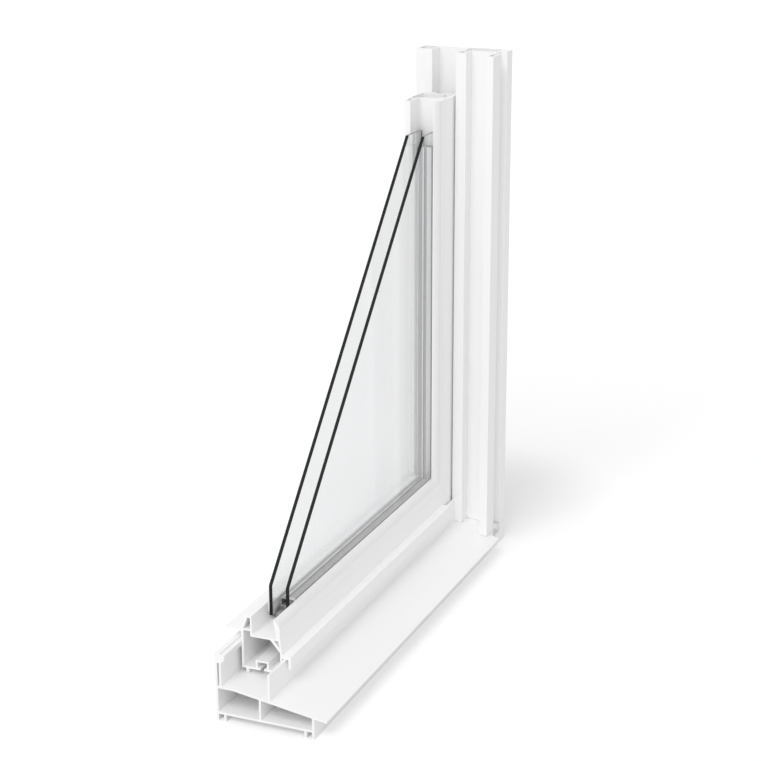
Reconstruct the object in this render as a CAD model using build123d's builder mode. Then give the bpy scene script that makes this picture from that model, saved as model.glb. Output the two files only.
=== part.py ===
# Corner section of a hung vinyl window, cut short as a display sample:
# sloped sill, jamb, sash bottom rail, sash stile and a piece of double glazing.
# X runs from the room side to the weather side, Y along the sill to the jamb, Z up.
import os
from math import radians, tan

from build123d import *

# Frame
frame_depth = 73.3        # room face to weather face of the sill box and the jamb
nose_reach = 9.3          # sill nose beyond the weather face
sill_length = 380.0       # near cut end to the back of the jamb
jamb_height = 404.3       # underside of the sill to the cut top of the jamb
frame_wall = 1.7          # outer walls of the frame extrusions
frame_web = 1.5           # inner webs of the frame extrusions
edge_round = 0.3          # corners of every extrusion

# Sill
trough_height = 20.9      # top of the level trough floor
trough_flat = 13.0        # level run of that floor, from the room face
sill_fall = 8.5           # fall of the sill towards the nose, in degrees
sill_web_place = 33.2     # middle of the web between the two sill chambers
rim_height = 45.7         # top of the room side upstand
upstand_leaf = 1.5        # each leaf of the double upstand
upstand_gap = 1.4         # space between its leaves
head_depth = 7.1          # room face to the tip of the upstand's lip
head_height = 7.6         # lip underside to the rim
lip_thickness = 3.6       # lip at its tip
lip_drop = 1.5            # top of the lip below the rim
rim_width = 4.0           # top of the upstand, room side of the step to the lip
keeper_gap = 1.0          # sash to the keeper upstand
keeper_height = 36.2      # top of the keeper upstand
foot_height = 5.0         # fins under the sill
foot_thickness = 1.7
foot_spacing = 7.4        # outside width of a pair of fins

# Jamb, as depths measured in from the back of the jamb
flange_width = 13.8       # room side flange
flange_depth = 19.2
channel_floor = 3.0       # floor of the sash channel
stop_clearance = 0.2      # sash to the parting stop
stop_width = 8.6
stop_depth = 32.0
track_floor = 19.0        # floor of the outer track
outer_leg_width = 6.6     # hollow leg on the weather side
outer_leg_depth = 44.0
groove_near = 12.0        # accessory groove in the weather face
groove_width = 15.5
groove_depth = 5.0
groove_foot = 4.0         # the sill's weather wall is notched below the groove, down to here
foot_relief = 0.5         # the jamb's foot is sawn flatter than the sill by this angle, in degrees
nose_overlap = 5.0        # the nose runs this far past the front of the outer leg

# Sash
sash_face = 7.3           # room face of the sash
sash_wall = 1.6
sash_web = 1.4
sash_start = 25.4         # cut end of the rail
sash_clearance = 3.5      # trough floor to the underside of the rail
stile_clearance = 4.2     # outer edge of the stile to the jamb's flange
sash_taper = 1.5          # weather face leans in by this much at the glazing pocket
pocket_height = 25.9      # underside of the rail to the floor of the glazing pocket
pocket_round = 2.0        # corner between that floor and the leg
leg_depth = 8.2           # room face to the glass side of the leg
leg_top_width = 4.7
leg_height = 13.7         # rail's leg above the pocket floor
stile_leg_rise = 6.0      # the stile's leg is this much taller than the rail's
lift_clearance = 6.7      # lift fin above the rim of the sill's upstand
lift_reach = 11.6
lift_thickness = 1.6
lift_cove = 2.5
hook_reach = 6.5          # drip hook over the keeper
hook_web = 2.6
hook_leg = 1.9
hook_drop = 6.7
hook_setback = 22.0       # drip hook short of the parting stop
slot_place = 15.4         # room face to the middle of the weatherstrip slot in the underside
slot_width = 7.2
slot_height = 4.4
slot_mouth = 2.9
toe_place = 4.2           # room face to the middle of the small toe under the rail
toe_width = 2.2
toe_clearance = 0.5
stile_top = 371.0         # cut top of the stile
stile_rebate = 1.0        # step in the stile's weather face, behind the drip hook's line

# Glazing
pane_thickness = 2.6
air_space = 10.3
tape_thickness = 0.8
tape_height = 7.0
block_thickness = 3.7
block_length = 50.0
block_inset = 6.0         # setting block to the end of the glass
pane_start = 51.1         # short upright edge at the near end
pane_edge_top = 76.4
pane_top_width = 27.1     # level top edge, from the stile side to the slanted cut
pane_drop = 24.3          # top edge of the glass below the cut top of the stile
sealant_depth = 2.7
spacer_height = 7.7
spacer_wall = 0.6
spacer_seam = 2.4         # groove along the middle of the spacer's face
spacer_recess = 11.5      # spacer and seals short of the cut edges of the glass
seal_thickness = 0.4      # primary seal between the spacer and each pane
seal_lap = 2.8            # primary seal pressed out over the spacer, along the inner pane
seal_rise = 0.3

# Glazing bead
bead_height = 13.5
bead_thickness = 4.0
bead_wall = 3.2
bead_curve = 7.0          # height over which the bead curves to the glass
gasket_height = 4.0       # soft lip between the bead and the glass

# Depths through the sash and its glazing, from the room side
leg_face = sash_face + leg_depth
inner_pane_face = leg_face + tape_thickness
space_start = inner_pane_face + pane_thickness
outer_pane_face = space_start + air_space
glass_outside = outer_pane_face + pane_thickness
bead_inside = glass_outside + tape_thickness
bead_outside = bead_inside + bead_thickness
sash_outside = bead_outside + sash_taper
keeper_inner = sash_outside + keeper_gap
keeper_face = keeper_inner + frame_wall
stop_place = sash_outside + stop_clearance
stop_face = stop_place + stop_width
nose_tip = frame_depth + nose_reach

# Heights through the rail
sash_bottom = trough_height + sash_clearance
pocket_floor = sash_bottom + pocket_height
rail_leg_top = pocket_floor + leg_height
bead_top = pocket_floor + bead_height
fin_under = rim_height + lift_clearance
lift_top = fin_under + lift_thickness
hook_top = keeper_height + hook_web
glass_bottom = pocket_floor + block_thickness
spacer_foot = glass_bottom + sealant_depth
spacer_top = spacer_foot + spacer_height
pane_top = stile_top - pane_drop

# Y plus Z is the same all over the mitre, where the rail and the stile meet.
jamb_back = sill_length
mitre_sum = jamb_back - flange_depth - stile_clearance + sash_bottom
glass_end = mitre_sum - glass_bottom
nose_end = jamb_back - outer_leg_depth + nose_overlap

# The part stands on its sill fins, with the middle of its box over the origin.
box_middle = (nose_tip + sash_face - lift_reach) / 2
corner = Vector(-box_middle, -sill_length / 2, foot_height)


def upright(y):
    """Plane across the sill at y: sketch x is X, sketch y is Z, negative extrusion runs along +Y."""
    return Plane(corner + Vector(0, y, 0), x_dir=(1, 0, 0), z_dir=(0, -1, 0))


def level(z):
    """Plane across the jamb at z: sketch x is X, sketch y is Y."""
    return Plane(corner + Vector(0, 0, z))


def stile_level(z):
    """Plane across the stile at z, with sketch y measured as on the rail."""
    return Plane(corner + Vector(0, mitre_sum, z), x_dir=(1, 0, 0), z_dir=(0, 0, -1))


def side(x):
    """Plane along the window at x: sketch x is Y, sketch y is Z."""
    return Plane(corner + Vector(x, 0, 0), x_dir=(0, 1, 0), z_dir=(1, 0, 0))


pocket_corner = corner + Vector(0, mitre_sum - pocket_floor, pocket_floor)
sash_mitre = Plane(pocket_corner, x_dir=(1, 0, 0), z_dir=(0, 1, 1))


def floor_top(x, fall=sill_fall):
    """Height of the trough floor and sloped sill at x."""
    return trough_height - max(0.0, x - trough_flat) * tan(radians(fall))


def section_corner(point):
    """Corner of the section being drawn that lies nearest to the point."""
    return vertices().sort_by_distance(Vector(*point))[0]


def soften(*larger):
    """Round the corners of the section being drawn, some of them by a larger radius of their own."""
    kept = [section_corner(point) for point, _ in larger]
    fillet([vertex for vertex in vertices() if vertex not in kept], edge_round)
    for point, radius in larger:
        fillet(section_corner(point), radius)


# Sill: box with two chambers, double upstand with a lipped head, keeper upstand and nose
with BuildPart() as frame_sill:
    upstand = 2 * upstand_leaf + upstand_gap
    lip_under = rim_height - head_height
    lip_top = rim_height - lip_drop
    inner_side = sill_web_place - frame_web / 2
    outer_side = sill_web_place + frame_web / 2
    last_side = frame_depth - frame_wall
    with BuildSketch(upright(0)):
        with BuildLine():
            Polyline(
                (0, 0), (frame_depth, 0), (frame_depth, floor_top(frame_depth) - frame_wall),
                (nose_tip, floor_top(nose_tip) - frame_wall), (nose_tip, floor_top(nose_tip)),
                (keeper_face, floor_top(keeper_face)), (keeper_face, keeper_height),
                (keeper_inner, keeper_height), (keeper_inner, floor_top(keeper_inner)),
                (trough_flat, trough_height), (upstand, trough_height), (upstand, lip_under),
                (head_depth, lip_top - lip_thickness), (head_depth, lip_top), (rim_width, lip_top),
                (rim_width, rim_height), (0, rim_height), close=True,
            )
        make_face()
        soften()
        Polygon(
            (frame_wall, frame_wall), (inner_side, frame_wall),
            (inner_side, floor_top(inner_side) - frame_wall), (trough_flat, trough_height - frame_wall),
            (frame_wall, trough_height - frame_wall),
            align=None, mode=Mode.SUBTRACT,
        )
        Polygon(
            (outer_side, frame_wall), (last_side, frame_wall), (last_side, floor_top(last_side) - frame_wall),
            (outer_side, floor_top(outer_side) - frame_wall), align=None, mode=Mode.SUBTRACT,
        )
        with Locations((upstand_leaf, trough_height)):
            Rectangle(upstand_gap, lip_under - trough_height, align=Align.MIN, mode=Mode.SUBTRACT)
        for pair in (0.0, frame_depth - foot_spacing):
            for fin in (pair, pair + foot_spacing - foot_thickness):
                with Locations((fin, -foot_height)):
                    Rectangle(foot_thickness, foot_height + frame_wall, align=Align.MIN)
    extrude(amount=-sill_length)
    # The upstand, the keeper and the nose stop at the jamb.
    with BuildSketch(side(0)):
        with Locations((jamb_back - flange_depth, trough_height)):
            Rectangle(flange_depth, rim_height, align=Align.MIN)
    extrude(amount=trough_flat, mode=Mode.SUBTRACT)
    with BuildSketch(upright(jamb_back - stop_depth)):
        Polygon(
            (trough_flat, trough_height), (nose_tip, floor_top(nose_tip)), (nose_tip, rim_height),
            (trough_flat, rim_height), align=None,
        )
    extrude(amount=-stop_depth, mode=Mode.SUBTRACT)
    with BuildSketch(upright(nose_end)):
        with Locations((frame_depth, 0)):
            Rectangle(nose_reach, rim_height, align=Align.MIN)
    extrude(amount=-(sill_length - nose_end), mode=Mode.SUBTRACT)
    # Below the jamb's groove the weather wall is notched, so that the groove drains into the sill.
    with BuildSketch(side(frame_depth - groove_depth)):
        with Locations((jamb_back - groove_near - groove_width, groove_foot)):
            Rectangle(groove_width, trough_height, align=Align.MIN)
    extrude(amount=groove_depth, mode=Mode.SUBTRACT)
frame_sill.part.label = "frame_sill"

# Jamb: flange, sash channel, parting stop, outer track and grooved outer leg, standing on the sill
with BuildPart() as frame_jamb:
    leg_inner = frame_depth - outer_leg_width
    groove_far = groove_near + groove_width
    with BuildSketch(level(0)):
        with BuildLine():
            Polyline(
                (0, jamb_back), (frame_depth, jamb_back), (frame_depth, jamb_back - groove_near),
                (frame_depth - groove_depth, jamb_back - groove_near),
                (frame_depth - groove_depth, jamb_back - groove_far),
                (frame_depth, jamb_back - groove_far), (frame_depth, jamb_back - outer_leg_depth),
                (leg_inner, jamb_back - outer_leg_depth), (leg_inner, jamb_back - track_floor),
                (stop_face, jamb_back - track_floor), (stop_face, jamb_back - stop_depth),
                (stop_place, jamb_back - stop_depth), (stop_place, jamb_back - channel_floor),
                (flange_width, jamb_back - channel_floor), (flange_width, jamb_back - flange_depth),
                (0, jamb_back - flange_depth), close=True,
            )
        make_face()
        soften()
        chambers = (
            (frame_wall, flange_width - frame_wall, frame_wall, flange_depth - frame_wall),
            (stop_place + frame_web, stop_face - frame_web, track_floor, stop_depth - frame_wall),
            (stop_place + frame_web, leg_inner, frame_wall, track_floor - frame_wall),
            (leg_inner + frame_web, frame_depth - frame_wall, groove_far + frame_web,
             outer_leg_depth - frame_wall),
        )
        for left, right, back, front in chambers:
            with Locations((left, jamb_back - front)):
                Rectangle(right - left, front - back, align=Align.MIN, mode=Mode.SUBTRACT)
    extrude(amount=jamb_height)
    # The foot is sawn to the sill, a little flatter, so that a fine joint opens towards the weather side.
    with BuildSketch(upright(0)):
        Polygon(
            (0, 0), (frame_depth, 0), (frame_depth, floor_top(frame_depth, sill_fall - foot_relief)),
            (trough_flat, trough_height), (0, trough_height), align=None,
        )
    extrude(amount=-sill_length, mode=Mode.SUBTRACT)
frame_jamb.part.label = "frame_jamb"


def rail_outline():
    """Rail section: wall box with a bevelled leg, a glazing pocket, a lift fin and a drip hook."""
    reach = sash_outside + hook_reach
    tip = sash_face - lift_reach
    with BuildLine() as edge:
        Polyline(
            (sash_face, sash_bottom), (sash_outside, sash_bottom), (sash_outside, keeper_height),
            (reach - hook_leg, keeper_height), (reach - hook_leg, keeper_height - hook_drop),
            (reach, keeper_height - hook_drop), (reach, hook_top), (sash_outside, hook_top),
            (bead_outside, pocket_floor), (leg_face, pocket_floor), (leg_face, rail_leg_top),
            (leg_face - leg_top_width, rail_leg_top), (sash_face, lift_top), (tip, lift_top),
            (tip, fin_under), (sash_face, fin_under), close=True,
        )
    make_face(edge.line)
    soften(((leg_face, pocket_floor), pocket_round), ((sash_face, fin_under), lift_cove))


def stile_outline():
    """Stile section: the rail's box with a taller leg and a step in place of fin and hook."""
    leg_top = rail_leg_top + stile_leg_rise
    with BuildLine() as edge:
        Polyline(
            (sash_face, sash_bottom), (sash_outside - stile_rebate, sash_bottom),
            (sash_outside - stile_rebate, hook_top), (sash_outside, hook_top), (bead_outside, pocket_floor),
            (leg_face, pocket_floor), (leg_face, leg_top), (leg_face - leg_top_width, leg_top),
            (sash_face, lift_top), close=True,
        )
    make_face(edge.line)
    soften(((leg_face, pocket_floor), pocket_round))


def sash_chambers(leg_top, rebate):
    """Hollows of the sash section and the weatherstrip slot in its outer edge."""
    inner = sash_face + sash_wall
    outer = sash_outside - rebate - sash_wall
    base = sash_bottom + sash_wall
    under = pocket_floor - sash_wall
    slot_middle = sash_face + slot_place
    slot_left = slot_middle - slot_width / 2
    slot_right = slot_middle + slot_width / 2
    slot_top = base + slot_height
    brace = hook_top + sash_web
    Polygon(
        (inner, lift_top), (leg_face - leg_top_width + sash_web, leg_top - sash_wall),
        (leg_face - sash_web, leg_top - sash_wall), (leg_face - sash_web, lift_top),
        align=None, mode=Mode.SUBTRACT,
    )
    Polygon(
        (inner, base), (slot_left - sash_web, base), (slot_left - sash_web, slot_top + sash_web),
        (slot_right + sash_web, slot_top + sash_web), (slot_right + sash_web, base), (outer, base),
        (outer, brace), (outer_pane_face, under), (leg_face - sash_web, under),
        (leg_face - sash_web, lift_top - sash_web), (inner, lift_top - sash_web),
        align=None, mode=Mode.SUBTRACT,
    )
    Polygon(
        (outer_pane_face + 2 * sash_web, under), (bead_outside - sash_wall, under),
        (sash_outside - sash_wall, brace + 2 * sash_web), align=None, mode=Mode.SUBTRACT,
    )
    with Locations((slot_left, base)):
        Rectangle(slot_width, slot_height, align=Align.MIN, mode=Mode.SUBTRACT)
    with Locations((slot_middle, sash_bottom)):
        Rectangle(slot_mouth, sash_wall, align=(Align.CENTER, Align.MIN), mode=Mode.SUBTRACT)


# Bottom rail with lift fin and drip hook, mitred to the stile
with BuildPart() as sash_rail:
    with BuildSketch(upright(sash_start)):
        rail_outline()
        sash_chambers(rail_leg_top, 0)
        with Locations((sash_face + toe_place, trough_height + toe_clearance)):
            Rectangle(toe_width, sash_bottom - trough_height, align=(Align.CENTER, Align.MIN))
    extrude(amount=-(mitre_sum - sash_start))
    split(bisect_by=sash_mitre, keep=Keep.BOTTOM)
    # The hook stops short of the parting stop.
    with BuildSketch(upright(jamb_back - stop_depth - hook_setback)):
        with Locations((sash_outside, 0)):
            Rectangle(nose_tip, rim_height, align=Align.MIN)
    extrude(amount=-(stop_depth + hook_setback), mode=Mode.SUBTRACT)
sash_rail.part.label = "sash_bottom_rail"

# Stile, the same box without fin, hook and toe
with BuildPart() as sash_stile:
    with BuildSketch(stile_level(0)):
        stile_outline()
        sash_chambers(rail_leg_top + stile_leg_rise, stile_rebate)
    extrude(amount=-stile_top)
    split(bisect_by=sash_mitre, keep=Keep.TOP)
sash_stile.part.label = "sash_stile"


def bead_outline():
    """Bead section: upright wall that curves over to the glass."""
    curve_foot = bead_top - bead_curve
    foot_side = bead_outside - bead_wall
    with BuildLine() as edge:
        Polyline(
            (bead_inside, bead_top), (bead_inside, curve_foot), (foot_side, curve_foot - bead_wall / 2),
            (foot_side, pocket_floor), (bead_outside, pocket_floor), (bead_outside, curve_foot),
        )
        TangentArc((bead_outside, curve_foot), (bead_inside, bead_top), tangent=(0, 1))
    make_face(edge.line)


def corner_pair(rail_name, stile_name, outline, start, top):
    """One section along the rail from start and the same up the stile to top, mitred where they meet."""
    with BuildPart() as along:
        with BuildSketch(upright(start)):
            outline()
        extrude(amount=-(mitre_sum - start))
        split(bisect_by=sash_mitre, keep=Keep.BOTTOM)
    along.part.label = rail_name
    with BuildPart() as up:
        with BuildSketch(stile_level(0)):
            outline()
        extrude(amount=-top)
        split(bisect_by=sash_mitre, keep=Keep.TOP)
    up.part.label = stile_name
    return [along.part, up.part]


def pane_outline():
    """Pane seen from the side: it keeps its lower corner and is cut off on a slant."""
    Polygon(
        (pane_start, glass_bottom), (glass_end, glass_bottom), (glass_end, pane_top),
        (glass_end - pane_top_width, pane_top), (pane_start, pane_edge_top), align=None,
    )


with BuildPart() as inner_pane:
    with BuildSketch(side(inner_pane_face)):
        pane_outline()
    extrude(amount=pane_thickness)
inner_pane.part.label = "inner_pane"

with BuildPart() as outer_pane:
    with BuildSketch(side(outer_pane_face)):
        pane_outline()
    extrude(amount=pane_thickness)
outer_pane.part.label = "outer_pane"


def spacer_outline():
    """Hollow bar section with a groove along the middle of its inner face."""
    bar = air_space - 2 * seal_thickness
    bar_start = space_start + seal_thickness
    with Locations((bar_start, spacer_foot)):
        Rectangle(bar, spacer_height, align=Align.MIN)
    with Locations((bar_start + spacer_wall, spacer_foot + spacer_wall)):
        Rectangle(
            bar - 2 * spacer_wall, spacer_height - 4 * spacer_wall, align=Align.MIN, mode=Mode.SUBTRACT,
        )
    with Locations((space_start + air_space / 2, spacer_top)):
        Rectangle(spacer_seam, 2 * spacer_wall, align=(Align.CENTER, Align.MAX), mode=Mode.SUBTRACT)


def sealant_outline():
    """Bed of sealant below the spacer, from pane to pane."""
    with Locations((space_start, glass_bottom)):
        Rectangle(air_space, sealant_depth, align=Align.MIN)


def inner_seal_outline():
    """Primary seal at the inner pane, pressed out over the edge of the spacer."""
    seal_side = space_start + seal_thickness
    Polygon(
        (space_start, spacer_foot), (seal_side, spacer_foot), (seal_side, spacer_top),
        (space_start + seal_lap, spacer_top), (space_start, spacer_top + seal_rise), align=None,
    )


def outer_seal_outline():
    """Primary seal at the outer pane, flush with the spacer."""
    with Locations((outer_pane_face, spacer_foot)):
        Rectangle(seal_thickness, spacer_height, align=(Align.MAX, Align.MIN))


def inner_tape_outline():
    """Bedding tape between the leg and the inner pane."""
    with Locations((leg_face, rail_leg_top - edge_round)):
        Rectangle(tape_thickness, tape_height, align=(Align.MIN, Align.MAX))


def outer_tape_outline():
    """Soft lip between the outer pane and the bead."""
    with Locations((glass_outside, bead_top)):
        Rectangle(tape_thickness, gasket_height, align=(Align.MIN, Align.MAX))


# Beads, spacer, seals and tapes, each a length along the rail and one up the stile
spacer_start = pane_start + spacer_recess
spacer_end = pane_top - spacer_recess
pieces = []
for rail_name, stile_name, outline, start, top in (
    ("rail_glazing_bead", "stile_glazing_bead", bead_outline, sash_start, stile_top),
    ("spacer_bottom", "spacer_side", spacer_outline, spacer_start, spacer_end),
    ("sealant_bottom", "sealant_side", sealant_outline, spacer_start, spacer_end),
    ("inner_seal_bottom", "inner_seal_side", inner_seal_outline, spacer_start, spacer_end),
    ("outer_seal_bottom", "outer_seal_side", outer_seal_outline, spacer_start, spacer_end),
    ("inner_tape_bottom", "inner_tape_side", inner_tape_outline, pane_start, pane_top),
    ("outer_tape_bottom", "outer_tape_side", outer_tape_outline, sash_start, stile_top),
):
    pieces += corner_pair(rail_name, stile_name, outline, start, top)

# Setting blocks under the glass
block_side = leg_face + pocket_round
for number, place in enumerate((pane_start + block_inset, glass_end - block_inset - block_length), start=1):
    with BuildPart() as setting_block:
        with BuildSketch(upright(place)):
            with Locations((block_side, pocket_floor)):
                Rectangle(glass_outside - block_side, block_thickness, align=Align.MIN)
        extrude(amount=-block_length)
    setting_block.part.label = f"setting_block_{number}"
    pieces.append(setting_block.part)

pieces += [
    frame_sill.part, frame_jamb.part, sash_rail.part, sash_stile.part, inner_pane.part, outer_pane.part,
]
os.makedirs("parts", exist_ok=True)
for piece in pieces:
    export_step(piece, f"parts/{piece.label}.step")
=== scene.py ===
# %% [markdown]
# # Window corner section sample
# The real object is a display sample of a white vinyl hung window: the lower corner of
# the frame and sash, sawn off so that the hollow extrusions show, with a piece of double
# glazing cut off on a slant. The CAD solids already have the right shapes, so this lesson
# dresses them: vinyl, glass, aluminium and rubber, then floor and light. It makes one small
# shape of its own, the weld at the sash corner.

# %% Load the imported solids
import math

import bmesh
import bpy
from mathutils import Matrix, Vector


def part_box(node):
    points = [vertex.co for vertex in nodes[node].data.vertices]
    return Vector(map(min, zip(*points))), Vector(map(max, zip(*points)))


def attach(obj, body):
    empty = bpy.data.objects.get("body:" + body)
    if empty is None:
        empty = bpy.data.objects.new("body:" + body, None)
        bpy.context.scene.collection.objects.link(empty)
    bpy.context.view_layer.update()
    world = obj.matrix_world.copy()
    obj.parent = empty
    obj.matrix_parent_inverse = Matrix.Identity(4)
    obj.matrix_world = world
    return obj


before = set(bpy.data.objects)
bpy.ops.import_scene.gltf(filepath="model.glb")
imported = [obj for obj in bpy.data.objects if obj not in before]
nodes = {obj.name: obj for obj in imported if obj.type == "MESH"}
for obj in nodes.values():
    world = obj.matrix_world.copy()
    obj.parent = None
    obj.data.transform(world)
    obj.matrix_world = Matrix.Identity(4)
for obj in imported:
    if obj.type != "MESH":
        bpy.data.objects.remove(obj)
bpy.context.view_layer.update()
MM = 0.001

# %% [markdown]
# ## Camera
# The sample is seen from the weather side, a little above, with its sawn end towards us.
# A long lens keeps the jamb almost upright. A Track To constraint could aim the camera, but
# it would settle the roll by itself. So the camera has a place in metres and three angles,
# and its matrix is made from them.

# %% Camera
CAMERA_AZIMUTH = math.radians(23.03)
CAMERA_ELEVATION = math.radians(17.76)
CAMERA_ROLL = math.radians(-0.22)
CAMERA_PLACE = Vector((0.50842, -1.19087, 0.60579))
LENS_MM = 87.94
SENSOR_MM = 36.0
FARTHEST_SEEN = 100.0

back = Vector((
    math.sin(CAMERA_AZIMUTH) * math.cos(CAMERA_ELEVATION),
    -math.cos(CAMERA_AZIMUTH) * math.cos(CAMERA_ELEVATION),
    math.sin(CAMERA_ELEVATION),
))
right = Vector((math.cos(CAMERA_AZIMUTH), math.sin(CAMERA_AZIMUTH), 0.0))
up = back.cross(right)
rolled_right = right * math.cos(CAMERA_ROLL) + up * math.sin(CAMERA_ROLL)
rolled_up = up * math.cos(CAMERA_ROLL) - right * math.sin(CAMERA_ROLL)

lens = bpy.data.cameras.new("sample_camera")
lens.lens = LENS_MM
lens.sensor_width = SENSOR_MM
lens.clip_end = FARTHEST_SEEN
camera = bpy.data.objects.new("sample_camera", lens)
bpy.context.scene.collection.objects.link(camera)
camera.matrix_world = Matrix((
    (rolled_right.x, rolled_up.x, back.x, CAMERA_PLACE.x),
    (rolled_right.y, rolled_up.y, back.y, CAMERA_PLACE.y),
    (rolled_right.z, rolled_up.z, back.z, CAMERA_PLACE.z),
    (0.0, 0.0, 0.0, 1.0),
))
bpy.context.scene.camera = camera
print("camera at", [round(v, 3) for v in CAMERA_PLACE])

# %% [markdown]
# ## Vinyl
# Window vinyl is opaque white with a soft sheen. Extruding leaves very faint lines along
# its length, and a saw leaves fine arcs and a duller face at each cut end. The rounded
# edges of the glazing beads have a slightly greyer white as painted shade, so that they
# look no brighter than the flat weather face. Each piece could have a material of its own,
# but the lines and the saw marks are the same everywhere and only turn with the piece. So
# both effects are node groups, and each material gives them its own direction.

# %% Node group helpers
def new_group(name, inputs, outputs):
    """Empty shader group with named sockets; returns the group, its input and output nodes."""
    group = bpy.data.node_groups.new(name, "ShaderNodeTree")
    for label, kind, value in inputs:
        socket = group.interface.new_socket(label, in_out="INPUT", socket_type=kind)
        socket.default_value = value
    for label, kind in outputs:
        group.interface.new_socket(label, in_out="OUTPUT", socket_type=kind)
    return group, group.nodes.new("NodeGroupInput"), group.nodes.new("NodeGroupOutput")


def add(tree, kind, **settings):
    """One node with its settings."""
    node = tree.nodes.new(kind)
    for key, value in settings.items():
        setattr(node, key, value)
    return node


def math_node(tree, operation, *terms):
    """Result of a Math node; each term is a socket or a number."""
    node = add(tree, "ShaderNodeMath", operation=operation)
    for socket, term in zip(node.inputs, terms):
        if isinstance(term, (int, float)):
            socket.default_value = term
        else:
            tree.links.new(term, socket)
    return node.outputs[0]


# %% Extrusion lines
LINE_FINENESS = 900.0
LINE_DETAIL = 2.0
CLOUD_SCALE = 22.0
CLOUD_DETAIL = 3.0

extrusion_lines, group_in, group_out = new_group(
    "extrusion_lines",
    [("Along", "NodeSocketVector", (1.0, 1.0, 1.0)), ("Fineness", "NodeSocketFloat", LINE_FINENESS)],
    [("Lines", "NodeSocketFloat"), ("Mottle", "NodeSocketFloat")],
)
line_place = add(extrusion_lines, "ShaderNodeTexCoord")
stretch = add(extrusion_lines, "ShaderNodeVectorMath", operation="MULTIPLY")
extrusion_lines.links.new(line_place.outputs["Object"], stretch.inputs[0])
extrusion_lines.links.new(group_in.outputs["Along"], stretch.inputs[1])
line_noise = add(extrusion_lines, "ShaderNodeTexNoise")
line_noise.inputs["Detail"].default_value = LINE_DETAIL
extrusion_lines.links.new(stretch.outputs[0], line_noise.inputs["Vector"])
extrusion_lines.links.new(group_in.outputs["Fineness"], line_noise.inputs["Scale"])
cloud_noise = add(extrusion_lines, "ShaderNodeTexNoise")
cloud_noise.inputs["Scale"].default_value = CLOUD_SCALE
cloud_noise.inputs["Detail"].default_value = CLOUD_DETAIL
extrusion_lines.links.new(line_place.outputs["Object"], cloud_noise.inputs["Vector"])
extrusion_lines.links.new(line_noise.outputs["Fac"], group_out.inputs["Lines"])
extrusion_lines.links.new(cloud_noise.outputs["Fac"], group_out.inputs["Mottle"])
print("group:", extrusion_lines.name)

# %% Saw cut ends
SAW_SPACING = 1400.0
SAW_WANDER = 2.0
SQUARE_ENOUGH = 0.95

saw_cut, group_in, group_out = new_group(
    "saw_cut",
    [("Direction", "NodeSocketVector", (0.0, 1.0, 0.0)), ("Spacing", "NodeSocketFloat", SAW_SPACING)],
    [("Cut", "NodeSocketFloat"), ("Marks", "NodeSocketFloat")],
)
surface_facts = add(saw_cut, "ShaderNodeNewGeometry")
facing = add(saw_cut, "ShaderNodeVectorMath", operation="DOT_PRODUCT")
saw_cut.links.new(surface_facts.outputs["True Normal"], facing.inputs[0])
saw_cut.links.new(group_in.outputs["Direction"], facing.inputs[1])
squareness = math_node(saw_cut, "ABSOLUTE", facing.outputs["Value"])
cut_mask = math_node(saw_cut, "GREATER_THAN", squareness, SQUARE_ENOUGH)
saw_place = add(saw_cut, "ShaderNodeTexCoord")
saw_rings = add(saw_cut, "ShaderNodeTexWave", wave_type="RINGS", rings_direction="SPHERICAL")
saw_rings.inputs["Distortion"].default_value = SAW_WANDER
saw_cut.links.new(group_in.outputs["Spacing"], saw_rings.inputs["Scale"])
saw_cut.links.new(saw_place.outputs["Object"], saw_rings.inputs["Vector"])
saw_cut.links.new(cut_mask, group_out.inputs["Cut"])
saw_cut.links.new(saw_rings.outputs["Fac"], group_out.inputs["Marks"])
print("group:", saw_cut.name)


# %% Material helpers
# A Mix node has sockets for every kind of data; these are the places of its colours.
MIX_FIRST, MIX_SECOND, MIX_RESULT = 6, 7, 2


def grey(value):
    """Neutral colour."""
    return (value, value, value, 1.0)


def new_material(name):
    """Material with a Principled shader alone; returns it, its node tree and the shader."""
    material = bpy.data.materials.new(name)
    material.use_nodes = True
    tree = material.node_tree
    return material, tree, tree.nodes["Principled BSDF"]


def place_group(tree, group, **values):
    """A group node with its own values."""
    node = add(tree, "ShaderNodeGroup", node_tree=group)
    for key, value in values.items():
        node.inputs[key].default_value = value
    return node


def colour_mix(tree, factor, first, second):
    """Mix of two colours, each a socket or a colour."""
    node = add(tree, "ShaderNodeMix", data_type="RGBA")
    tree.links.new(factor, node.inputs["Factor"])
    for socket, value in ((node.inputs[MIX_FIRST], first), (node.inputs[MIX_SECOND], second)):
        if isinstance(value, tuple):
            socket.default_value = value
        else:
            tree.links.new(value, socket)
    return node.outputs[MIX_RESULT]


def raise_surface(tree, shader, height, strength, depth):
    """Bump from a height, up to a depth in metres."""
    bump = add(tree, "ShaderNodeBump")
    bump.inputs["Strength"].default_value = strength
    bump.inputs["Distance"].default_value = depth
    tree.links.new(height, bump.inputs["Height"])
    tree.links.new(bump.outputs["Normal"], shader.inputs["Normal"])


# %% White vinyl
VINYL_WHITE = grey(0.95)
VINYL_MOTTLED = grey(0.938)
VINYL_SAWN = grey(0.955)
VINYL_ROUGHNESS = 0.36
ROUGHER_WHERE_SAWN = 0.25
ROUGHER_ON_LINES = 0.08
LINE_HEIGHT = 0.4
VINYL_BUMP = 0.12
VINYL_BUMP_DEPTH = 0.2 * MM
VINYL_IOR = 1.53


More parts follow.
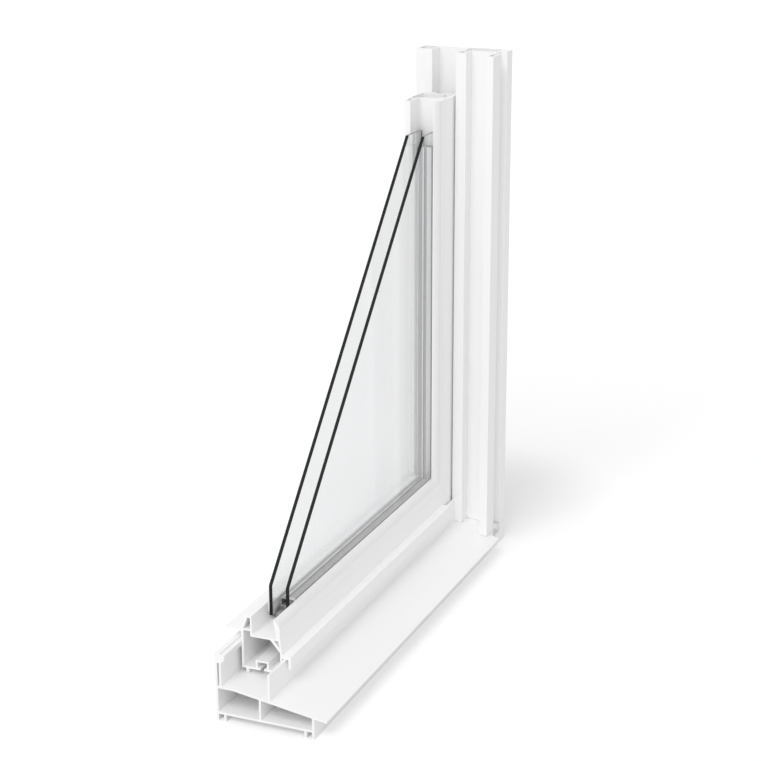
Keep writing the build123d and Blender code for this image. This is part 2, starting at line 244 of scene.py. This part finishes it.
def vinyl(name, along, across, white=VINYL_WHITE, mottled=VINYL_MOTTLED):
    """White vinyl with lines along the extrusion and saw marks on faces square to it."""
    material, tree, shader = new_material(name)
    lines = place_group(tree, extrusion_lines, Along=along)
    saw = place_group(tree, saw_cut, Direction=across)
    base = colour_mix(tree, lines.outputs["Mottle"], white, mottled)
    tree.links.new(colour_mix(tree, saw.outputs["Cut"], base, VINYL_SAWN), shader.inputs["Base Color"])
    dull = math_node(tree, "MULTIPLY_ADD", saw.outputs["Cut"], ROUGHER_WHERE_SAWN, VINYL_ROUGHNESS)
    dull = math_node(tree, "MULTIPLY_ADD", lines.outputs["Lines"], ROUGHER_ON_LINES, dull)
    tree.links.new(dull, shader.inputs["Roughness"])
    marks = math_node(tree, "MULTIPLY", saw.outputs["Cut"], saw.outputs["Marks"])
    height = math_node(tree, "MULTIPLY_ADD", lines.outputs["Lines"], LINE_HEIGHT, marks)
    raise_surface(tree, shader, height, VINYL_BUMP, VINYL_BUMP_DEPTH)
    shader.inputs["IOR"].default_value = VINYL_IOR
    return material


# %% Vinyl on the frame, sash and beads
# Texture coordinates squeezed this far along a piece stretch its noise into lines.
RUN_SQUEEZE = 0.02
ALONG_SILL = (1.0, RUN_SQUEEZE, 1.0)
UPRIGHT = (1.0, 1.0, RUN_SQUEEZE)
# Painted shade: the rounded edges of the beads are a slightly greyer white than the rest.
BEAD_SHADE_WHITE = grey(0.88)
BEAD_SHADE_MOTTLED = grey(0.865)
# Faces of a bead get the painted shade if they lean out, but aren't its flat weather face.
BEAD_SHADE_LEAST_OUT, BEAD_SHADE_MOST_OUT = 0.05, 0.995


def dress(name, *materials):
    """Give a solid these materials instead of its own; returns its mesh."""
    mesh = nodes[name].data
    mesh.materials.clear()
    for material in materials:
        mesh.materials.append(material)
    return mesh


runs = (
    ("along_sill", ALONG_SILL, (0.0, 1.0, 0.0), ("frame_sill", "sash_bottom_rail", "rail_glazing_bead")),
    ("upright", UPRIGHT, (0.0, 0.0, 1.0), ("frame_jamb", "sash_stile", "stile_glazing_bead")),
)
for run, along, across, names in runs:
    hard = vinyl(f"vinyl_{run}", along, across)
    bead_shade = vinyl(f"painted_bead_shade_{run}", along, across, BEAD_SHADE_WHITE, BEAD_SHADE_MOTTLED)
    for name in names:
        if "bead" not in name:
            dress(name, hard)
            continue
        for polygon in dress(name, hard, bead_shade).polygons:
            polygon.material_index = int(BEAD_SHADE_LEAST_OUT < polygon.normal.x < BEAD_SHADE_MOST_OUT)
    print("vinyl", run, "on", ", ".join(names))

# %% [markdown]
# ## Weld at the sash corner
# The stile's inner leg stands higher than the rail's, so its mitred end would stay open
# above the rail. On the real sash the corner is welded and melted vinyl closes that end. A
# boolean union would have to change the solids, so a low pad is laid over the end instead:
# the end's own outline in shrinking layers, wrapped in a convex hull.

# %% Outline of the open end
ON_THE_MITRE = 0.99
mitre_out = Vector((0.0, -1.0, -1.0)).normalized()
rail_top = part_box("sash_bottom_rail")[1].z

mitre = bmesh.new()
mitre.from_mesh(nodes["sash_stile"].data)
off_the_mitre = [face for face in mitre.faces if face.normal.dot(mitre_out) < ON_THE_MITRE]
bmesh.ops.delete(mitre, geom=off_the_mitre, context="FACES")
bmesh.ops.bisect_plane(
    mitre, geom=mitre.verts[:] + mitre.edges[:] + mitre.faces[:],
    plane_co=(0.0, 0.0, rail_top), plane_no=(0.0, 0.0, 1.0), clear_inner=True)
outline = [vertex.co.copy() for vertex in mitre.verts]
mitre.free()
print("open end:", len(outline), "points above", round(rail_top / MM, 1), "mm")

# %% Corner weld
# Height and scale of each layer.
WELD_LAYERS = ((0.0, 1.0), (0.25 * MM, 0.95), (0.4 * MM, 0.82))

pad = bmesh.new()
outline_middle = sum(outline, Vector()) / len(outline)
for height, scale in WELD_LAYERS:
    for point in outline:
        pad.verts.new(outline_middle + (point - outline_middle) * scale + mitre_out * height)
hull = bmesh.ops.convex_hull(pad, input=pad.verts[:])
left_over = hull["geom_interior"] + hull["geom_unused"]
spare = {item for item in left_over if isinstance(item, bmesh.types.BMVert)}
bmesh.ops.delete(pad, geom=list(spare), context="VERTS")
weld_mesh = bpy.data.meshes.new("corner_weld")
pad.to_mesh(weld_mesh)
pad.free()
weld_mesh.materials.append(nodes["sash_stile"].data.materials[0])
weld = bpy.data.objects.new("corner_weld", weld_mesh)
bpy.context.scene.collection.objects.link(weld)
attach(weld, "root")
print("weld:", len(weld_mesh.polygons), "faces,", [round(v / MM, 1) for v in weld.dimensions], "mm")

# %% [markdown]
# ## Glass
# Clear float glass shows almost nothing of itself face on, apart from its gloss and a faint
# haze from wiping. With a plain glass shader, two panes would throw a dark shadow, because
# light from a lamp isn't followed through bent rays. So shadow rays and diffuse rays meet a
# transparent shader instead, and the camera still sees the gloss and the bending. The haze
# is a mottle, and the seals, tapes and blocks use it too, so it is a node group.

# %% Mottle
SPOT_SCALE = 300.0
SPOT_DETAIL = 3.0
SPOT_SHARES = {"Fine": 1.0, "Broad": 0.1}

mottle, group_in, group_out = new_group(
    "mottle",
    [("Scale", "NodeSocketFloat", SPOT_SCALE)],
    [(label, "NodeSocketFloat") for label in SPOT_SHARES],
)
spot_place = add(mottle, "ShaderNodeTexCoord")
for label, share in SPOT_SHARES.items():
    spots = add(mottle, "ShaderNodeTexNoise")
    spots.inputs["Detail"].default_value = SPOT_DETAIL
    spot_scale = math_node(mottle, "MULTIPLY", group_in.outputs["Scale"], share)
    mottle.links.new(spot_place.outputs["Object"], spots.inputs["Vector"])
    mottle.links.new(spot_scale, spots.inputs["Scale"])
    mottle.links.new(spots.outputs["Fac"], group_out.inputs[label])
print("group:", mottle.name)

# %% Clear glass
GLASS_CLEAR = (0.987, 0.990, 0.995, 1.0)
GLASS_WIPED = (0.982, 0.985, 0.990, 1.0)
GLASS_PASSING = grey(0.995)
GLASS_IOR = 1.5
WIPE_SCALE = 160.0
WIPE_ROUGHNESS = 0.004

glass, tree, shader = new_material("clear_glass")
haze = place_group(tree, mottle, Scale=WIPE_SCALE).outputs["Broad"]
tree.links.new(colour_mix(tree, haze, GLASS_CLEAR, GLASS_WIPED), shader.inputs["Base Color"])
tree.links.new(math_node(tree, "MULTIPLY", haze, WIPE_ROUGHNESS), shader.inputs["Roughness"])
shader.inputs["IOR"].default_value = GLASS_IOR
shader.inputs["Transmission Weight"].default_value = 1.0
rays = add(tree, "ShaderNodeLightPath")
clear = add(tree, "ShaderNodeBsdfTransparent")
clear.inputs["Color"].default_value = GLASS_PASSING
surface = shader.outputs["BSDF"]
for kind in ("Is Shadow Ray", "Is Diffuse Ray"):
    passed = add(tree, "ShaderNodeMixShader")
    tree.links.new(rays.outputs[kind], passed.inputs["Fac"])
    tree.links.new(surface, passed.inputs[1])
    tree.links.new(clear.outputs[0], passed.inputs[2])
    surface = passed.outputs[0]
tree.links.new(surface, tree.nodes["Material Output"].inputs["Surface"])
print("glass passes shadow and diffuse rays")

# %% [markdown]
# ## Cut edges of the glass
# The cut edges of a pane are near black, because light inside it leaves through the faces.
# Only the level edges catch the light from above and look grey. Following that light
# through the glass would take many bounces, so the edges have opaque materials with fine
# grinding lines. Each pane keeps its CAD solid, and its faces get glass, a dark edge or a
# grey one by their direction.

# %% Glass edges
EDGE_DARK = ((0.009, 0.012, 0.012, 1.0), (0.018, 0.023, 0.022, 1.0))
EDGE_LIT = ((0.30, 0.305, 0.305, 1.0), (0.38, 0.385, 0.385, 1.0))
EDGE_RUN = (1.0, 0.05, 0.05)
EDGE_FINENESS = 1500.0
EDGE_ROUGHNESS = 0.4
EDGE_ROUGHER_ON_LINES = 0.2
EDGE_GLOSS = 0.15
FACES_ITS_AXIS = 0.9


def ground_edge(name, colours):
    """Cut edge of a pane with fine grinding lines along it."""
    material, tree, shader = new_material(name)
    lines = place_group(tree, extrusion_lines, Along=EDGE_RUN, Fineness=EDGE_FINENESS).outputs["Lines"]
    tree.links.new(colour_mix(tree, lines, *colours), shader.inputs["Base Color"])
    dull = math_node(tree, "MULTIPLY_ADD", lines, EDGE_ROUGHER_ON_LINES, EDGE_ROUGHNESS)
    tree.links.new(dull, shader.inputs["Roughness"])
    shader.inputs["Specular IOR Level"].default_value = EDGE_GLOSS
    return material


dark_edge = ground_edge("glass_edge", EDGE_DARK)
level_edge = ground_edge("glass_level_edge", EDGE_LIT)
for name in ("inner_pane", "outer_pane"):
    for polygon in dress(name, glass, dark_edge, level_edge).polygons:
        face_on = abs(polygon.normal.x) > FACES_ITS_AXIS
        level = abs(polygon.normal.z) > FACES_ITS_AXIS
        polygon.material_index = 0 if face_on else 2 if level else 1
    print(name, "has glass and two kinds of edge")

# %% [markdown]
# ## Spacer, seals, tapes and blocks
# A hollow bar rolled from aluminium strip keeps the panes apart, and keeps fine lines from
# rolling. Dark butyl seals its two sides, and a dark sealant fills the edge below it. Pale
# foam tape beds the glass in its pocket, on short rubber blocks. The outer strip of the
# bottom bar and the inside of the bars carry painted shade, a dark grey. They could be
# pieces of their own, but they have no thickness to show, so faces of the bars carry them.
# The soft pieces share one mottle, at the scale of each: coarse in sealant, fine in foam.

# %% Spacer metal and soft pieces
SPACER_BRIGHT = (0.79, 0.79, 0.80, 1.0)
SPACER_DULL = (0.71, 0.71, 0.72, 1.0)
SPACER_FINENESS = 1200.0
SPACER_ROUGHNESS = 0.31
SPACER_ROUGHER_ON_LINES = 0.14
SOFT_ROUGHER_ON_SPOTS = 0.15
SOFT_BUMP = 0.4


def spacer_metal(name, along):
    """Rolled aluminium with faint lines along the bar."""
    material, tree, shader = new_material(name)
    lines = place_group(tree, extrusion_lines, Along=along, Fineness=SPACER_FINENESS).outputs["Lines"]
    tree.links.new(colour_mix(tree, lines, SPACER_BRIGHT, SPACER_DULL), shader.inputs["Base Color"])
    dull = math_node(tree, "MULTIPLY_ADD", lines, SPACER_ROUGHER_ON_LINES, SPACER_ROUGHNESS)
    tree.links.new(dull, shader.inputs["Roughness"])
    shader.inputs["Metallic"].default_value = 1.0
    return material


def soft_piece(name, colours, roughness, scale, depth):
    """Sealant, rubber, foam or painted shade: a mottle between two colours with a fine bump."""
    material, tree, shader = new_material(name)
    spots = place_group(tree, mottle, Scale=scale).outputs
    tree.links.new(colour_mix(tree, spots["Fine"], *colours), shader.inputs["Base Color"])
    dull = math_node(tree, "MULTIPLY_ADD", spots["Broad"], SOFT_ROUGHER_ON_SPOTS, roughness)
    tree.links.new(dull, shader.inputs["Roughness"])
    raise_surface(tree, shader, spots["Fine"], SOFT_BUMP, depth)
    return material


# %% Spacer bars, their insides and the smear
# Colours of the inner butyl, also used as painted shade inside the spacer bars.
INNER_BUTYL_AND_SHADE = ((0.24, 0.24, 0.25, 1.0), (0.36, 0.36, 0.37, 1.0))
SPACER_WALL = 0.6 * MM
# Faces that turn this far along the bar are its ends, which stay bright.
FACES_AN_END = 0.5

# Painted shade: a dark grey on the insides of the bars and on the outer strip of the bottom bar.
painted_recess_shade = soft_piece("spacer_painted_shade", INNER_BUTYL_AND_SHADE, roughness=0.55, scale=900.0, depth=0.1 * MM)
for name, along, run_axis, depth_axis in (
    ("spacer_bottom", ALONG_SILL, 1, 2),
    ("spacer_side", UPRIGHT, 2, 1),
):
    mesh = dress(name, spacer_metal(f"{name}_aluminium", along), painted_recess_shade)
    section = {axis: [vertex.co[axis] for vertex in mesh.vertices] for axis in (0, depth_axis)}
    bar_middle = (min(section[0]) + max(section[0])) / 2
    for polygon in mesh.polygons:
        within = all(
            min(places) + SPACER_WALL / 2 < polygon.center[axis] < max(places) - SPACER_WALL / 2
            for axis, places in section.items()
        )
        inside = within and abs(polygon.normal[run_axis]) < FACES_AN_END
        # The outer strip of the bottom bar gets the painted shade too.
        on_top = name == "spacer_bottom" and polygon.normal.z > FACES_ITS_AXIS
        painted_shade_strip = on_top and polygon.center.x > bar_middle
        polygon.material_index = int(inside or painted_shade_strip)
    print(name, "has", sum(polygon.material_index for polygon in mesh.polygons), "dark faces")

# %% Seals, tapes and blocks
OUTER_BUTYL = ((0.34, 0.34, 0.35, 1.0), (0.46, 0.46, 0.47, 1.0))
# The edge sealant is dark; its wide mottle is partly painted shade, whose darkest spots stand for the
# hollows of its torn end.
EDGE_SEALANT_AND_SHADE = ((0.04, 0.04, 0.045, 1.0), (0.50, 0.50, 0.51, 1.0))
FOAM = ((0.90, 0.90, 0.89, 1.0), (0.95, 0.95, 0.94, 1.0))
RUBBER = (grey(0.32), grey(0.42))

soft_materials = {
    "inner_seal": soft_piece("inner_butyl", INNER_BUTYL_AND_SHADE, roughness=0.60, scale=500.0, depth=0.2 * MM),
    "outer_seal": soft_piece("outer_butyl", OUTER_BUTYL, roughness=0.60, scale=500.0, depth=0.2 * MM),
    "sealant": soft_piece("edge_sealant", EDGE_SEALANT_AND_SHADE, roughness=0.60, scale=420.0, depth=0.4 * MM),
    "tape": soft_piece("foam_tape", FOAM, roughness=0.75, scale=1500.0, depth=0.1 * MM),
    "block": soft_piece("block_rubber", RUBBER, roughness=0.65, scale=900.0, depth=0.1 * MM),
}
for word, material in soft_materials.items():
    for name in [name for name in nodes if word in name]:
        dress(name, material)
        print(name, "has", material.name)

# %% [markdown]
# ## Floor
# The sample stands on white paper, with a soft shadow behind the jamb. More lamps would make
# the paper white, but would also wash out the vinyl. So the paper adds a little light of its
# own to what the camera sees, and the lamp stays at a plain level. That glow grows with
# distance, where the lamp is weaker, and dips behind the jamb: a painted shadow that deepens
# the lamp's own shadow there. Through the glass the same backdrop shows a little duller than
# bare.

# %% What the camera sees of the backdrop
BACKDROP_IN_GLASS = 0.45


def seen_share(tree):
    """1 for what the camera sees directly, less for what it sees through or in the glass."""
    path = add(tree, "ShaderNodeLightPath").outputs
    in_glass = math_node(tree, "MAXIMUM", path["Is Transmission Ray"], path["Is Glossy Ray"])
    in_glass = math_node(tree, "MULTIPLY", in_glass, BACKDROP_IN_GLASS)
    return math_node(tree, "MAXIMUM", in_glass, path["Is Camera Ray"])


def by_distance(tree, centre, distances, values):
    """Value that changes smoothly with the distance from a point of the floor, in metres."""
    place = add(tree, "ShaderNodeTexCoord")
    away = add(tree, "ShaderNodeVectorMath", operation="DISTANCE")
    tree.links.new(place.outputs["Object"], away.inputs[0])
    away.inputs[1].default_value = centre
    reach = add(tree, "ShaderNodeMapRange", interpolation_type="SMOOTHSTEP")
    for label, value in zip(("From Min", "From Max", "To Min", "To Max"), distances + values):
        reach.inputs[label].default_value = value
    tree.links.new(away.outputs["Value"], reach.inputs["Value"])
    return reach.outputs["Result"]


# %% Floor
FLOOR_HALF = 15.0

floor_mesh = bpy.data.meshes.new("paper_floor")
sheet = bmesh.new()
bmesh.ops.create_grid(sheet, x_segments=1, y_segments=1, size=FLOOR_HALF)
sheet.to_mesh(floor_mesh)
sheet.free()
floor = bpy.data.objects.new("paper_floor", floor_mesh)
bpy.context.scene.collection.objects.link(floor)
print("floor is", 2 * FLOOR_HALF, "m square")

# %% White paper
PAPER_WHITE = grey(0.80)
GLOW_DISTANCES, GLOW_VALUES = (0.4, 2.5), (0.25, 0.36)
# Painted shadow: less glow behind the foot of the jamb.
DIP_DISTANCES, DIP_VALUES = (0.06, 0.16), (0.115, 0.0)
DIP_BEHIND_JAMB = 80.0 * MM

paper = bpy.data.materials.new("white_paper")
paper.use_nodes = True
tree = paper.node_tree
tree.nodes.clear()
out = add(tree, "ShaderNodeOutputMaterial")
diffuse = add(tree, "ShaderNodeBsdfDiffuse")
diffuse.inputs["Color"].default_value = PAPER_WHITE
glow = add(tree, "ShaderNodeEmission")
jamb_low, jamb_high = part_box("frame_jamb")
dip_centre = (jamb_low.x, jamb_high.y + DIP_BEHIND_JAMB, 0.0)
wide = by_distance(tree, (0.0, 0.0, 0.0), GLOW_DISTANCES, GLOW_VALUES)
dip = by_distance(tree, dip_centre, DIP_DISTANCES, DIP_VALUES)
strength = math_node(tree, "SUBTRACT", wide, dip)
tree.links.new(math_node(tree, "MULTIPLY", seen_share(tree), strength), glow.inputs["Strength"])
both = add(tree, "ShaderNodeAddShader")
tree.links.new(diffuse.outputs[0], both.inputs[0])
tree.links.new(glow.outputs[0], both.inputs[1])
tree.links.new(both.outputs[0], out.inputs["Surface"])
floor_mesh.materials.append(paper)
print("paper glows, with a dip at", [round(v, 3) for v in dip_centre])

# %% [markdown]
# ## Light
# The light is even, as in a studio with white walls: a white sky from everywhere and one
# large soft lamp, high in front of the sawn end. Several small lamps could do the same, but
# each would add a shadow of its own. Where the camera sees the sky, it is a little brighter
# than the light that it gives. White vinyl lights its own hollows, so light may bounce often.

# %% Sky
SKY_LIGHT = 0.75
SKY_SEEN_EXTRA = 0.25

world = bpy.data.worlds.new("white_studio")
bpy.context.scene.world = world
world.use_nodes = True
tree = world.node_tree
tree.nodes.clear()
out = add(tree, "ShaderNodeOutputWorld")
sky = add(tree, "ShaderNodeBackground")
sky.inputs["Color"].default_value = grey(1.0)
strength = math_node(tree, "MULTIPLY_ADD", seen_share(tree), SKY_SEEN_EXTRA, SKY_LIGHT)
tree.links.new(strength, sky.inputs["Strength"])
tree.links.new(sky.outputs[0], out.inputs["Surface"])
print("sky gives", SKY_LIGHT, "and shows", SKY_LIGHT + SKY_SEEN_EXTRA)

# %% Lamp
LAMP_PLACE = Vector((0.0, -4.1, 4.6))
LAMP_TARGET = Vector((0.0, 0.0, 0.2))
LAMP_SIZE = 3.0
LAMP_WATTS = 131.0
DIFFUSE_BOUNCES = 10

softbox = bpy.data.lights.new("front_softbox", "AREA")
softbox.shape = "SQUARE"
softbox.size = LAMP_SIZE
softbox.energy = LAMP_WATTS
lamp = bpy.data.objects.new("front_softbox", softbox)
bpy.context.scene.collection.objects.link(lamp)
lamp.location = LAMP_PLACE
lamp.rotation_euler = (LAMP_TARGET - LAMP_PLACE).to_track_quat("-Z", "Y").to_euler()
bpy.context.scene.cycles.diffuse_bounces = DIFFUSE_BOUNCES
bpy.context.scene.view_settings.view_transform = "Standard"
print("lamp at", [round(v, 3) for v in LAMP_PLACE])

# %% [markdown]
# ## Finish
# The view layer is brought up to date at the end.

# %% Finish
bpy.context.view_layer.update()
